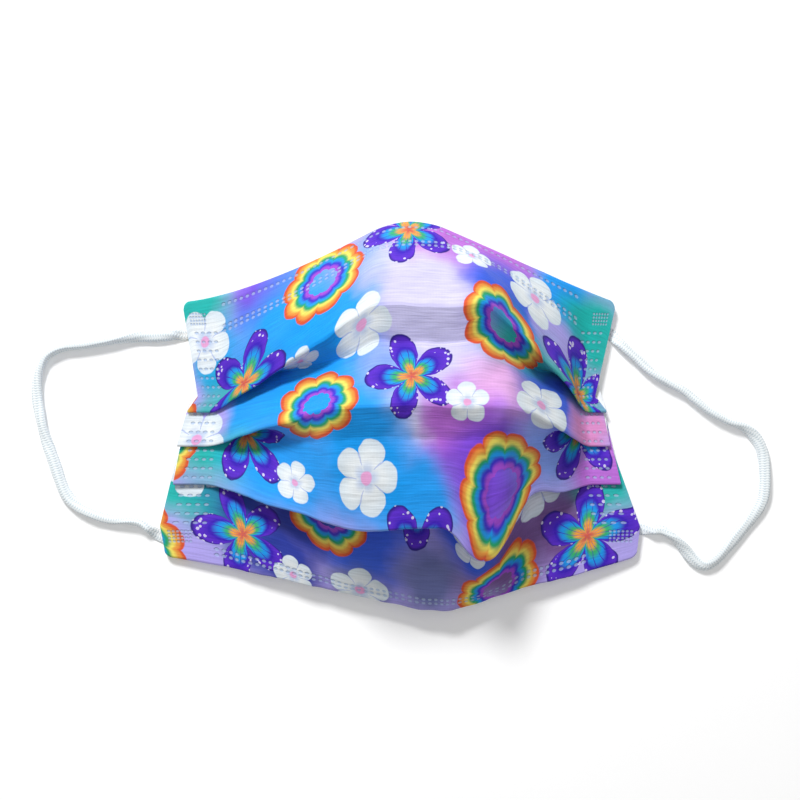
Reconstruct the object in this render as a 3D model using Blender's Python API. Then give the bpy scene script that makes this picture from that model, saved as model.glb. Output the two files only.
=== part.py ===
"""A pleated ear-loop face mask, lying face up on a flat surface with its pleats opened into a dome.

The body is one folded sheet. It is drawn as sections across the pleats, one at each of a row of stations
between the two sides. At a side the three pleats lie closed on each other, and towards the middle they open
out and rise. The top hem holds a flat nose wire, and the two elastic loops end in flattened strips under the
four corners.
X runs across the mask to the photograph's right, Y to its top edge, and Z up from the surface under it.
"""

import math
from collections import namedtuple

import bmesh
import bpy
from mathutils import Vector

# Sizes of the sheet, in metres
SHEET_WIDTH = 0.175
SHEET_WALL = 0.001
LAYER_GAP = 0.0003
SIDE_HEIGHT = 0.090
SIDE_DROP = 0.0035
OPEN_HEIGHT = 0.134
DOME_HEIGHT = 0.046
PLEAT_DEPTH = 0.0125
TOP_HEM = 0.014
BOTTOM_HEM = 0.009
SIDE_BAND = 0.0125
FOLD_SOFTNESS = 0.003
MID_SPREAD = 0.88
EDGE_BOW = 6
FOLD_ROUNDNESS = 0.9

# Sizes of the welds that hold the closed pleats together at the sides
WELD_WIDTH = 0.005
WELD_DEPTH = 0.0025

# Sizes of the nose wire and the room that its pocket leaves round it
WIRE_LENGTH = 0.100
WIRE_WIDTH = 0.0035
WIRE_THICKNESS = 0.0007
WIRE_SETBACK = 0.0075
WIRE_CLEARANCE = 0.0004
POCKET_RAMP = 0.012

# Sizes of the elastic loops and of their flattened ends
CORD_DIAMETER = 0.003
CORD_LIFT = 0.00005
CORD_STEP = 0.0062
LOOP_END_LENGTH = 0.011
LOOP_END_WIDTH = 0.0042
LOOP_END_THICKNESS = 0.001
LOOP_END_BEVEL = 0.00025
LOOP_NECK = 0.0045
EDGE_CLEARANCE = 0.0004

HALF_WIDTH = SHEET_WIDTH / 2
HALF_WALL = SHEET_WALL / 2
LAYER_PITCH = SHEET_WALL + LAYER_GAP
POCKET_PITCH = SHEET_WALL + WIRE_THICKNESS + 2 * WIRE_CLEARANCE

# Where the flat side bands end, as a share of the half width, and where the sheet itself ends
BAND_END = 1 - SIDE_BAND / HALF_WIDTH
SHEET_END = 1.0

# Layers stacked under each kind of line where the pleats are closed: a valley has none, a ridge has three
VALLEY_LEVEL = 0.5
RIDGE_LEVEL = 3.5
HEM_LEVEL = 1.5

# Lines across the sheet, from the top edge to the bottom edge.
# side_y and mid_y are shares of SIDE_HEIGHT and OPEN_HEIGHT, mid_z is a share of DOME_HEIGHT.
# start, left_x, right_x, left_top and right_top are shares of HALF_WIDTH: where the rise begins, where the
# line ends at each side, and where the raised middle begins and ends. A bow under 1 makes the rise full,
# over 1 hollow.
Line = namedtuple(
    "Line", "name start level side_y mid_y mid_z left_x right_x left_top right_top left_bow right_bow"
)
LINES = {
    line.name: line
    for line in (
        Line("top", SHEET_END, HEM_LEVEL, 0.500, 0.500, 0.48, 0.881, 0.874, -0.04, 0.13, 1.42, 1.06),
        Line("ridge_1", BAND_END, RIDGE_LEVEL, 0.066, 0.274, 0.935, 0.862, 0.837, -0.11, 0.34, 1.00, 0.76),
        Line("ridge_2", BAND_END, RIDGE_LEVEL, -0.068, 0.025, 1.00, 0.903, 0.851, -0.29, 0.45, 1.00, 0.75),
        Line("ridge_3", BAND_END, RIDGE_LEVEL, -0.218, -0.281, 0.78, 0.918, 0.893, -0.23, 0.33, 1.00, 1.00),
        Line("bottom", SHEET_END, HEM_LEVEL, -0.500, -0.500, 0.20, 0.954, 0.960, 0.10, 0.22, 1.00, 0.84),
    )
}

# The strip of each pleat turns back under its ridge. mid_turn is how far it has swung open at the middle,
# in degrees from pointing up the mask. left_x and right_x are as above, for the hidden valley line.
Pleat = namedtuple("Pleat", "ridge mid_turn left_x right_x")
PLEATS = (
    Pleat("ridge_1", 145.0, 0.830, 0.800),
    Pleat("ridge_2", 150.0, 0.870, 0.835),
    Pleat("ridge_3", 68.0, 0.905, 0.868),
)
PLEAT_OPENING_BOW = 1.4

# Soft bends of the two wide panels, between the line above and the line below. side_y and mid_y say how far
# down the panel the bend runs, side_z how far its height has gone there at a side, and lift is how far it
# stands proud at the middle, as a share of PLEAT_DEPTH. Below the chin bend the panel's side lies level, on
# its hem.
Bend = namedtuple("Bend", "ridge side_y side_z mid_y lift left_x right_x")
CHEEK = Bend("ridge_1", 0.857, 0.857, 0.50, 0.24, 0.820, 0.792)
CHIN = Bend("ridge_3", 0.718, 1.000, 0.50, 0.20, 0.972, 0.972)

# Dents of single lines: place and reach are shares of HALF_WIDTH, the shifts are shares of PLEAT_DEPTH
Dent = namedtuple("Dent", "line place reach shift_y shift_z")
DENTS = (
    Dent("ridge_1", 0.45, 0.22, 0.20, 0.10),
    Dent("ridge_3", 0.39, 0.22, -0.98, -0.24),
    Dent("ridge_3", 0.60, 0.17, 0.34, 0.16),
)

# Stations from side to side, as shares of HALF_WIDTH
STATIONS = (
    -1.0, -0.985, -0.93, -0.857, -0.825, -0.78, -0.71, -0.64, -0.56, -0.48, -0.40, -0.33, -0.27, -0.20,
    -0.13, -0.06, 0.01, 0.08, 0.14, 0.20, 0.26, 0.32, 0.38, 0.44, 0.50, 0.56, 0.62, 0.68, 0.73, 0.78,
    0.825, 0.857, 0.93, 0.985, 1.0,
)

# Folds sharper than this show an edge, in degrees
SHARP_FOLD = 35.0

# Flattened ends of the loops: height is a share of SIDE_HEIGHT, the turns are degrees from the X axis
LoopEnd = namedtuple("LoopEnd", "name side height inward outward")
LOOP_ENDS = (
    LoopEnd("loop_end_upper_left", -1, 0.380, 32.0, 187.0),
    LoopEnd("loop_end_lower_left", -1, -0.425, -22.0, 147.0),
    LoopEnd("loop_end_upper_right", 1, 0.380, 148.0, -44.0),
    LoopEnd("loop_end_lower_right", 1, -0.398, 188.0, -3.0),
)

# Routes of the free elastic, from the upper end to the lower end, as plan points in metres.
# Each stretch between two of them is curved in this many steps.
ROUTE_STEPS = 8
LOOP_ROUTES = {
    "ear_loop_left": (
        (-0.0805, 0.0301), (-0.0870, 0.0295), (-0.0939, 0.0293), (-0.1043, 0.0277), (-0.1121, 0.0265),
        (-0.1200, 0.0254), (-0.1254, 0.0227), (-0.1279, 0.0190), (-0.1293, 0.0140), (-0.1293, 0.0075),
        (-0.1279, -0.0003), (-0.1261, -0.0071), (-0.1234, -0.0146), (-0.1195, -0.0253), (-0.1154, -0.0303),
        (-0.1096, -0.0335), (-0.1032, -0.0353), (-0.0968, -0.0360), (-0.0921, -0.0371), (-0.0890, -0.0391),
    ),
    "ear_loop_right": (
        (0.0781, 0.0274), (0.0812, 0.0244), (0.0850, 0.0211), (0.0904, 0.0160), (0.0957, 0.0127),
        (0.1007, 0.0103), (0.1054, 0.0066), (0.1103, 0.0026), (0.1165, -0.0006), (0.1225, -0.0031),
        (0.1266, -0.0066), (0.1289, -0.0114), (0.1297, -0.0178), (0.1297, -0.0240), (0.1286, -0.0293),
        (0.1254, -0.0345), (0.1207, -0.0404), (0.1158, -0.0463), (0.1117, -0.0505), (0.1080, -0.0520),
        (0.1043, -0.0500), (0.1008, -0.0458), (0.0972, -0.0421), (0.0936, -0.0397), (0.0915, -0.0393),
        (0.0900, -0.0395),
    ),
}

# Finishes: colour in linear light, roughness, metallic
PRINTED_CLOTH = ("printed nonwoven", (0.42, 0.38, 0.80, 1.0), 0.85, 0.0)
ELASTIC = ("white elastic", (0.86, 0.92, 0.93, 1.0), 0.80, 0.0)
COATED_WIRE = ("coated wire", (0.85, 0.86, 0.88, 1.0), 0.45, 0.0)


def clear_scene():
    """Remove what a new file starts with."""
    for thing in list(bpy.data.objects):
        bpy.data.objects.remove(thing, do_unlink=True)


def finish_material(finish):
    """Return the Principled material of a finish, made once."""
    name, colour, roughness, metallic = finish
    material = bpy.data.materials.get(name)
    if material is None:
        material = bpy.data.materials.new(name)
        material.use_nodes = True
        shader = material.node_tree.nodes["Principled BSDF"]
        shader.inputs["Base Color"].default_value = colour
        shader.inputs["Roughness"].default_value = roughness
        shader.inputs["Metallic"].default_value = metallic
    return material


def add_piece(name, points, faces, finish):
    """Make one closed mesh object from its points and faces."""
    mesh = bpy.data.meshes.new(name)
    mesh.from_pydata([tuple(point) for point in points], [], faces)
    mesh.validate()
    shape = bmesh.new()
    shape.from_mesh(mesh)
    bmesh.ops.triangulate(shape, faces=shape.faces)
    bmesh.ops.recalc_face_normals(shape, faces=shape.faces)
    shape.to_mesh(mesh)
    shape.free()
    mesh.shade_smooth()
    mesh.set_sharp_from_angle(angle=math.radians(SHARP_FOLD))
    piece = bpy.data.objects.new(name, mesh)
    piece.data.materials.append(finish_material(finish))
    bpy.context.scene.collection.objects.link(piece)
    return piece


def mix(start, end, share):
    """Blend two values."""
    return start + (end - start) * share


def clamp(value):
    """Keep a share between none and all."""
    return max(0.0, min(1.0, value))


def layer_height(level):
    """Height of a layer's middle where the pleats lie closed."""
    return HALF_WALL + level * LAYER_PITCH


def plain_rise(place, line):
    """How far a line has risen from its side height to its middle height, at a place across."""
    reach = line.start * HALF_WIDTH
    left = clamp((place + reach) / (line.left_top * HALF_WIDTH + reach))
    right = clamp((reach - place) / (reach - line.right_top * HALF_WIDTH))
    return min(left ** line.left_bow, right ** line.right_bow)


def rise(place, line):
    """The rise with the bends at its ends softened."""
    return sum(plain_rise(place + step * FOLD_SOFTNESS, line) for step in (-1, 0, 1)) / 3


def dent_shift(place, line):
    """Shift of a line by its dents, as a plan part and a height part."""
    shift_y = 0.0
    shift_z = 0.0
    for dent in DENTS:
        if dent.line == line.name:
            away = clamp(abs(place / HALF_WIDTH - dent.place) / dent.reach)
            share = (1 + math.cos(math.pi * away)) / 2
            shift_y += dent.shift_y * share * PLEAT_DEPTH
            shift_z += dent.shift_z * share * PLEAT_DEPTH
    return shift_y, shift_z


def across(place, left_x, right_x):
    """X of a point on a line that ends at the given shares of the half width, and runs evenly in between."""
    edge = left_x if place < 0 else right_x
    return place * mix(MID_SPREAD, edge, abs(place / HALF_WIDTH) ** (EDGE_BOW - 1))


def line_point(place, name):
    """Point of a named line at a flat place across the sheet."""
    line = LINES[name]
    share = rise(place, line)
    shift_y, shift_z = dent_shift(place, line)
    y = mix(line.side_y * SIDE_HEIGHT - SIDE_DROP, line.mid_y * OPEN_HEIGHT, share)
    z = mix(layer_height(line.level), line.mid_z * DOME_HEIGHT, share)
    return Vector((across(place, line.left_x, line.right_x), y + shift_y, z + shift_z))


def valley_point(place, pleat):
    """Point of the valley line behind a pleat's ridge, where its strip has swung open by its share."""
    ridge = line_point(place, pleat.ridge)
    closed = math.asin((RIDGE_LEVEL - VALLEY_LEVEL) * LAYER_PITCH / PLEAT_DEPTH)
    opening = 1 - (1 - rise(place, LINES[pleat.ridge])) ** PLEAT_OPENING_BOW
    turn = mix(closed, math.radians(pleat.mid_turn), opening)
    drop = min(PLEAT_DEPTH * math.sin(turn), ridge.z - layer_height(VALLEY_LEVEL))
    x = across(place, pleat.left_x, pleat.right_x)
    return Vector((x, ridge.y + PLEAT_DEPTH * math.cos(turn), ridge.z - drop))


def bend_point(place, bend, above, below):
    """Point of a panel's soft bend, between the lines that the panel hangs from and ends at."""
    share = rise(place, LINES[bend.ridge])
    y = mix(above.y, below.y, mix(bend.side_y, bend.mid_y, share))
    z = mix(above.z, below.z, mix(bend.side_z, bend.mid_y, share))
    return Vector((across(place, bend.left_x, bend.right_x), y, z + bend.lift * PLEAT_DEPTH * share))


def pocket_pitch(place):
    """Distance between the two layers of the top hem, wider where the wire lies."""
    open_share = clamp((HALF_WIDTH - SIDE_BAND - abs(place)) / POCKET_RAMP)
    return mix(LAYER_PITCH, POCKET_PITCH, open_share)


def direction(start, end):
    """Unit direction between two points, seen along the X axis."""
    return Vector((0.0, end.y - start.y, end.z - start.z)).normalized()


def quarter_turn(way, sense):
    """A direction turned by a right angle in the section plane."""
    return Vector((0.0, -way.z, way.y)) * sense


def fold_crossing(way_in, way_out, sense):
    """Direction of the path over a fold's crest: onward where open, to the next layer where closed."""
    if way_in.dot(way_out) > 0:
        return (way_in + way_out).normalized()
    return quarter_turn((way_in - way_out).normalized(), sense)


# A corner of the sheet's path in a section: sense is +1 where the path turns from Y to Z, -1 the other way,
# and none where it only bends
Corner = namedtuple("Corner", "point sense pitch")


def section_corners(place):
    """Corners of the folded sheet at one station, from the top hem's fold to the bottom hem's."""
    top = line_point(place, "top")
    bottom = line_point(place, "bottom")
    pleats = [(line_point(place, pleat.ridge), valley_point(place, pleat)) for pleat in PLEATS]
    half_layer = Vector((0.0, 0.0, LAYER_PITCH / 2))
    cheek = bend_point(place, CHEEK, top + half_layer, pleats[0][0] + half_layer)
    chin = bend_point(place, CHIN, pleats[-1][1] - half_layer, bottom + half_layer)
    corners = [Corner(top, 1, pocket_pitch(place)), Corner(cheek, 0, 0.0)]
    for ridge, valley in pleats:
        corners.append(Corner(ridge, 1, LAYER_PITCH))
        corners.append(Corner(valley, -1, LAYER_PITCH))
    return corners + [Corner(chin, 0, 0.0), Corner(bottom, 1, LAYER_PITCH)]


def hem_end(under, over, onward, depth):
    """Free end of a hem that runs back under its panel, from the fold's two layers and the next point."""
    panel = onward - over
    return under + panel * (depth / direction(over, onward).dot(panel))


def section_path(place):
    """Bends of the sheet's middle line at one station: each is a point and the radius that rounds it."""
    corners = section_corners(place)
    points = [corner.point for corner in corners]
    path = []
    for index, corner in enumerate(corners):
        if corner.sense == 0:
            path.append((corner.point, 0.0))
            continue
        if index == 0:
            way_out = direction(points[0], points[1])
            way_in = -way_out
        elif index == len(corners) - 1:
            way_in = direction(points[-2], points[-1])
            way_out = -way_in
        else:
            way_in = direction(points[index - 1], points[index])
            way_out = direction(points[index], points[index + 1])
        along = fold_crossing(way_in, way_out, corner.sense)
        radius = corner.pitch / 2
        path.append((corner.point - along * radius, radius * FOLD_ROUNDNESS))
        path.append((corner.point + along * radius, radius * FOLD_ROUNDNESS))
    start = hem_end(path[0][0], path[1][0], path[2][0], TOP_HEM)
    end = hem_end(path[-1][0], path[-2][0], path[-3][0], BOTTOM_HEM)
    return [(start, 0.0)] + path + [(end, 0.0)]


def rounded_path(path):
    """Points of the middle line with their sideways directions, each bend drawn as a short arc."""
    rounded = []
    for index, (point, radius) in enumerate(path):
        way_in = direction(path[max(index - 1, 0)][0], path[max(index, 1)][0])
        way_out = direction(path[min(index, len(path) - 2)][0], path[min(index + 1, len(path) - 1)][0])
        side_in = quarter_turn(way_in, -1)
        side_out = quarter_turn(way_out, -1)
        side_mid = (side_in + side_out).normalized()
        if radius == 0:
            rounded.append((point, side_mid))
            continue
        half_turn = math.acos(max(-1.0, min(1.0, way_in.dot(way_out)))) / 2
        reach = radius * math.tan(half_turn)
        bulge = radius * (1 / math.cos(half_turn) - 1)
        outward = (way_in - way_out).normalized() if half_turn > 0 else side_mid
        rounded.append((point - way_in * reach, side_in))
        rounded.append((point - outward * bulge, side_mid))
        rounded.append((point + way_out * reach, side_out))
    return rounded


def weld_block(place_start, place_end, ridge_index):
    """Corners of a weld through a closed pleat, between the middles of the layers under and over it."""
    points = []
    for place in (place_start, place_end):
        path = [point for point, radius in section_path(place)]
        # The path holds the hem end, two points for a fold and one for a bend, so ridges come at 4, 8 and 12
        ridge = 4 + 4 * ridge_index
        over_start, over_end = path[ridge - 1], path[ridge]
        under_start, under_end = path[ridge + 3], path[ridge + 4]
        middle = (over_end.y + under_start.y) / 2
        for y in (middle - WELD_DEPTH / 2, middle + WELD_DEPTH / 2):
            for start, end in ((under_start, under_end), (over_start, over_end)):
                share = (y - start.y) / (end.y - start.y)
                points.append(start.lerp(end, share))
    return points


def make_welds():
    """The blocks of fused layers in both side bands, as one shape for the union."""
    box_faces = [(0, 1, 3, 2), (4, 6, 7, 5), (0, 4, 5, 1), (2, 3, 7, 6), (0, 2, 6, 4), (1, 5, 7, 3)]
    band_middle = HALF_WIDTH - SIDE_BAND / 2
    points = []
    faces = []
    for side in (-1, 1):
        for ridge_index in range(len(PLEATS)):
            first = len(points)
            near = side * (band_middle - WELD_WIDTH / 2)
            far = side * (band_middle + WELD_WIDTH / 2)
            points += weld_block(near, far, ridge_index)
            faces += [tuple(first + corner for corner in face) for face in box_faces]
    welds = add_piece("side_welds", points, faces, PRINTED_CLOTH)
    welds.hide_render = True
    welds.display_type = "WIRE"
    return welds


def make_pleated_body():
    """The folded sheet: a thin closed band of faces along each section, bridged from station to station."""
    sections = [rounded_path(section_path(share * HALF_WIDTH)) for share in STATIONS]
    count = len(sections[0])
    ring = 2 * count
    points = []
    for section in sections:
        points += [point + side * HALF_WALL for point, side in section]
        points += [point - side * HALF_WALL for point, side in reversed(section)]
    faces = []
    for station in range(len(sections) - 1):
        for index in range(ring):
            here = station * ring + index
            beside = station * ring + (index + 1) % ring
            faces.append((here, beside, beside + ring, here + ring))
    for first in (0, (len(sections) - 1) * ring):
        for index in range(count - 1):
            across_index = ring - 1 - index
            faces.append((first + index, first + index + 1, first + across_index - 1, first + across_index))
    body = add_piece("pleated_body", points, faces, PRINTED_CLOTH)
    union = body.modifiers.new("side welds", "BOOLEAN")
    union.operation = "UNION"
    union.solver = "EXACT"
    union.object = make_welds()
    return body


def hem_frame(place):
    """Middle of the wire's pocket, with the directions along the hem's depth and through it."""
    places = [share * HALF_WIDTH for share in STATIONS]
    after = next(index for index, station in enumerate(places) if station >= place and index > 0)
    share = (place - places[after - 1]) / (places[after] - places[after - 1])
    frames = []
    for station in (places[after - 1], places[after]):
        under, over, onward = [point for point, radius in section_path(station)[1:4]]
        way = direction(over, onward)
        frames.append((under.lerp(over, 0.5) + way * WIRE_SETBACK, way))
    centre = frames[0][0].lerp(frames[1][0], share)
    way = frames[0][1].lerp(frames[1][1], share).normalized()
    return centre, way, quarter_turn(way, -1)


def make_nose_wire():
    """The flat wire, bent with the hem that it lies in."""
    half = WIRE_LENGTH / 2
    places = [-half] + [share * HALF_WIDTH for share in STATIONS if abs(share * HALF_WIDTH) < half] + [half]
    points = []
    for place in places:
        centre, way, through = hem_frame(place)
        for across_share, through_share in ((-1, -1), (1, -1), (1, 1), (-1, 1)):
            points.append(
                centre
                + way * across_share * WIRE_WIDTH / 2
                + through * through_share * WIRE_THICKNESS / 2
            )
    faces = [(0, 1, 2, 3), tuple(len(points) - 1 - index for index in range(4))]
    for station in range(len(places) - 1):
        for index in range(4):
            here = station * 4 + index
            beside = station * 4 + (index + 1) % 4
            faces.append((here, beside, beside + 4, here + 4))
    return add_piece("nose_wire", points, faces, COATED_WIRE)


def side_edge_x(side, y):
    """Furthest X of the sheet's side edge within a loop end's width of a height."""
    path = [point for point, radius in section_path(side * HALF_WIDTH)]
    crossings = []
    for start, end in zip(path, path[1:]):
        if abs(end.y - start.y) < LAYER_PITCH:
            continue
        for height in (y - LOOP_END_WIDTH / 2, y, y + LOOP_END_WIDTH / 2):
            share = (height - start.y) / (end.y - start.y)
            if 0 <= share <= 1:
                crossings.append(abs(mix(start.x, end.x, share)))
    return side * max(crossings)


def loop_end_path(loop_end):
    """Plan points of a flattened end: under the corner, at the edge, just past it, and at the round neck."""
    y = loop_end.height * SIDE_HEIGHT - SIDE_DROP
    edge = Vector((side_edge_x(loop_end.side, y), y, 0.0))
    inward, outward = [
        Vector((math.cos(math.radians(turn)), math.sin(math.radians(turn)), 0.0))
        for turn in (loop_end.inward, loop_end.outward)
    ]
    shoulder = edge + outward * EDGE_CLEARANCE
    return [edge + inward * LOOP_END_LENGTH, edge, shoulder, edge + outward * LOOP_NECK]


def octagon(width, height, bevel):
    """Outline of a strip or rod that rests at height zero, from the lower left corner round."""
    half = width / 2
    return [
        (-half + bevel, 0.0), (half - bevel, 0.0), (half, bevel), (half, height - bevel),
        (half - bevel, height), (-half + bevel, height), (-half, height - bevel), (-half, bevel),
    ]


def make_loop_end(loop_end):
    """A flattened strip that widens from the elastic's round end, lying on the surface under a corner."""
    path = loop_end_path(loop_end)
    flat = octagon(LOOP_END_WIDTH, LOOP_END_THICKNESS, LOOP_END_BEVEL)
    round_bevel = CORD_DIAMETER / (2 + math.sqrt(2))
    rod = octagon(CORD_DIAMETER, CORD_DIAMETER, round_bevel)
    outlines = [flat, flat, flat, rod]
    points = []
    for index, centre in enumerate(path):
        before = path[max(index - 1, 0)]
        after = path[min(index + 1, len(path) - 1)]
        way = (after - before).normalized()
        aside = Vector((way.y, -way.x, 0.0))
        points += [centre + aside * over + Vector((0.0, 0.0, up)) for over, up in outlines[index]]
    sides = len(flat)
    faces = [tuple(range(sides)), tuple(len(points) - 1 - index for index in range(sides))]
    for station in range(len(path) - 1):
        for index in range(sides):
            here = station * sides + index
            beside = station * sides + (index + 1) % sides
            faces.append((here, beside, beside + sides, here + sides))
    return add_piece(loop_end.name, points, faces, ELASTIC)


def smooth_route(route):
    """Evenly spaced points of a smooth curve through a route's own points."""
    dense = []
    for index in range(len(route) - 1):
        before = route[max(index - 1, 0)]
        start = route[index]
        end = route[index + 1]
        after = route[min(index + 2, len(route) - 1)]
        for step in range(ROUTE_STEPS):
            share = step / ROUTE_STEPS
            dense.append(
                0.5
                * (
                    2 * start
                    + (end - before) * share
                    + (2 * before - 5 * start + 4 * end - after) * share**2
                    + (3 * start - before - 3 * end + after) * share**3
                )
            )
    dense.append(route[-1])
    length = sum((end - start).length for start, end in zip(dense, dense[1:]))
    steps = round(length / CORD_STEP)
    even = [dense[0]]
    travelled = 0.0
    for start, end in zip(dense, dense[1:]):
        stretch = (end - start).length
        while len(even) < steps and travelled + stretch >= len(even) * length / steps:
            even.append(start.lerp(end, (len(even) * length / steps - travelled) / stretch))
        travelled += stretch
    return even + [dense[-1]]


def make_ear_loop(name):
    """The free stretch of one round elastic, lying on the surface."""
    height = CORD_DIAMETER / 2 + CORD_LIFT
    points = smooth_route([Vector((x, y, height)) for x, y in LOOP_ROUTES[name]])
    curve = bpy.data.curves.new(name, "CURVE")
    curve.dimensions = "3D"
    curve.bevel_depth = CORD_DIAMETER / 2
    curve.bevel_resolution = 2
    curve.use_fill_caps = True
    spline = curve.splines.new("POLY")
    spline.points.add(len(points) - 1)
    for spline_point, point in zip(spline.points, points):
        spline_point.co = (*point, 1.0)
    spline.use_smooth = True
    curve.materials.append(finish_material(ELASTIC))
    cord = bpy.data.objects.new(name, curve)
    bpy.context.scene.collection.objects.link(cord)
    return cord


def main():
    """Make every piece of the mask."""
    clear_scene()
    make_pleated_body()
    make_nose_wire()
    for loop_end in LOOP_ENDS:
        make_loop_end(loop_end)
    for name in LOOP_ROUTES:
        make_ear_loop(name)


main()
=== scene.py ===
"""Looks of a pleated ear-loop face mask that lies face up, its pleats opened into a dome.

The cloth is one folded sheet of printed spunbond nonwoven with a plain white lining side. It is drawn as
fine sections across the pleats, from the same lines as the frame's body. A coated wire lies in its top hem,
and the two elastic loops are knitted tubes that lie on the floor. X runs across the mask, Y to its top edge
and Z up from the floor, all in metres.
"""

import math
from collections import namedtuple

import bpy
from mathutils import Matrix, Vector, noise


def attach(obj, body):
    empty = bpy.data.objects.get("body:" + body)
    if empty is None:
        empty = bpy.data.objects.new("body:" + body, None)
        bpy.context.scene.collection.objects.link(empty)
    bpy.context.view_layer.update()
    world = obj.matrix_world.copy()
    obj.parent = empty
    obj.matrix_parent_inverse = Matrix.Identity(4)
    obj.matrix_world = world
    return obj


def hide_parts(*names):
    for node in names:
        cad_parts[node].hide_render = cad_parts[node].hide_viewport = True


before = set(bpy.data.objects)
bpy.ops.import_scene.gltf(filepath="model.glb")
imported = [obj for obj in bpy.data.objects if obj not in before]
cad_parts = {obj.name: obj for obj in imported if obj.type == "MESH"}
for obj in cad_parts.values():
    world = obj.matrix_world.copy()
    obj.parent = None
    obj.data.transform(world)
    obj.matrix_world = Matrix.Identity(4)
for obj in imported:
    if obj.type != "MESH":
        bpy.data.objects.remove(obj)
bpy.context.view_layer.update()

MM = 0.001

# The sheet's own sizes, as it was cut and folded
SHEET_WIDTH = 0.175
HALF_WIDTH = SHEET_WIDTH / 2
CLOTH_WALL = 0.0005
HALF_WALL = CLOTH_WALL / 2
LAYER_PITCH = 0.0009
SIDE_HEIGHT = 0.090
SIDE_DROP = 0.0035
OPEN_HEIGHT = 0.134
DOME_HEIGHT = 0.046
PLEAT_DEPTH = 0.0125
TOP_HEM = 0.014
BOTTOM_HEM = 0.009
SIDE_BAND = 0.0125
CORNER_RADIUS = 0.0024

# How far the lines' bends are softened across the sheet, most at the peak, and how round the folds are
FOLD_SOFTNESS = 0.003
PEAK_SOFTNESS = 0.009
SOFTENING_STEPS = 4
FOLD_ROUNDNESS = 0.9

# How far the middle of the sheet is drawn in across, and how late the sides leave that
MID_SPREAD = 0.88
EDGE_BOW = 6

# The nose wire with its rounded sides, and its pocket in the top hem with a clearance on both faces
WIRE_LENGTH = 0.100
WIRE_WIDTH = 0.0035
WIRE_THICKNESS = 0.0007
WIRE_SETBACK = 0.0075
WIRE_CLEARANCE = 0.0003
WIRE_SIDES = 12
WIRE_SIDE_BOW = 0.4
POCKET_PITCH = CLOTH_WALL + WIRE_THICKNESS + 2 * WIRE_CLEARANCE
POCKET_RAMP = 0.012

# Where the side bands end, as a share of the half width
INNER = 1 - SIDE_BAND / HALF_WIDTH

# Heights of the closed folds at the sides
VALLEY_HEIGHT = HALF_WALL + LAYER_PITCH / 2
RIDGE_HEIGHT = VALLEY_HEIGHT + 3 * LAYER_PITCH
HEM_HEIGHT = 0.00245

# Where the folds lie down the flat sheet, and where its hems end. Each fold takes half a layer's pitch to
# each side.
FOLD_ROWS = (0.0, 0.040, 0.0525, 0.0785, 0.091, 0.1175, 0.130, 0.1685)
FLAT_START = FOLD_ROWS[0] - TOP_HEM
FLAT_END = FOLD_ROWS[-1] + BOTTOM_HEM

# How many steps each stretch between two bends is drawn in
STRETCH_STEPS = (12, 1, 20, 20, 1, 12, 1, 24, 1, 12, 1, 24, 1, 12, 1, 18, 18, 1, 8)
ARC_STEPS = 3

# The lines across the mask. A line leaves its side height at start, a share of the half width. side_y is a
# share of SIDE_HEIGHT, mid_y of OPEN_HEIGHT and mid_z of DOME_HEIGHT. left_x and right_x are its ends, and
# left_top and right_top are where it is highest, all as shares of the half width. The bows curve its rise.
Line = namedtuple(
    "Line", "name start side_z side_y mid_y mid_z left_x right_x left_top right_top left_bow right_bow"
)
LINES = {
    line.name: line
    for line in (
        Line("top", 1.0, HEM_HEIGHT, 0.500, 0.500, 0.48, 0.881, 0.874, -0.04, 0.13, 1.42, 1.06),
        Line("ridge_1", INNER, RIDGE_HEIGHT, 0.066, 0.274, 0.935, 0.862, 0.837, -0.11, 0.34, 1.00, 0.76),
        Line("ridge_2", INNER, RIDGE_HEIGHT, -0.068, 0.025, 1.00, 0.903, 0.851, -0.29, 0.45, 1.00, 0.75),
        Line("ridge_3", INNER, RIDGE_HEIGHT, -0.218, -0.281, 0.78, 0.918, 0.893, -0.23, 0.33, 1.00, 1.00),
        Line("bottom", 1.0, HEM_HEIGHT, -0.500, -0.500, 0.20, 0.954, 0.960, 0.10, 0.22, 1.00, 0.84),
    )
}

# The pleats: how many degrees the strip behind each ridge has swung in the middle, and where its valley ends
Pleat = namedtuple("Pleat", "ridge mid_turn left_x right_x")
PLEATS = (
    Pleat("ridge_1", 156.0, 0.830, 0.800),
    Pleat("ridge_2", 150.0, 0.870, 0.835),
    Pleat("ridge_3", 68.0, 0.905, 0.868),
)
PLEAT_OPENING_BOW = 1.4

# Soft bends of the top and bottom panels, as shares of the way from the line above to the line below. Their
# lift is a share of PLEAT_DEPTH.
Bend = namedtuple("Bend", "ridge side_y side_z mid_y lift left_x right_x")
CHEEK = Bend("ridge_1", 0.857, 0.857, 0.50, 0.24, 0.820, 0.792)
CHIN = Bend("ridge_3", 0.718, 1.000, 0.50, 0.20, 0.972, 0.972)

# Dents of the ridges: place and reach are shares of the half width, and shifts are shares of PLEAT_DEPTH
Dent = namedtuple("Dent", "line place reach shift_y shift_z")
DENTS = (
    Dent("ridge_1", 0.45, 0.22, 0.20, 0.10),
    Dent("ridge_3", 0.39, 0.22, -0.98, -0.24),
    Dent("ridge_3", 0.60, 0.17, 0.34, 0.16),
)

# The elastics: mean diameter, half widths of the oval, and the flattened ends with their necks
CORD_SIDES = 20
CORD_STEP = 0.0005
ROUTE_STEPS = 12
BROAD_HALF = 0.0021
NARROW_HALF = 0.0014
FLAT_END_HALF = 0.0021
FLAT_END_RISE = 0.0005
FLAT_END_LENGTH = 0.012
NECK_LENGTH = 0.005

# How the oval twists: evenly in radians a metre, and to and fro in radians by noise in waves a metre
TWIST_RATE = 30.0
TWIST_SWING = 1.3
TWIST_WAVES = 70.0
TWIST_SEEDS = {"left": 3.7, "right": 9.1}

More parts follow.
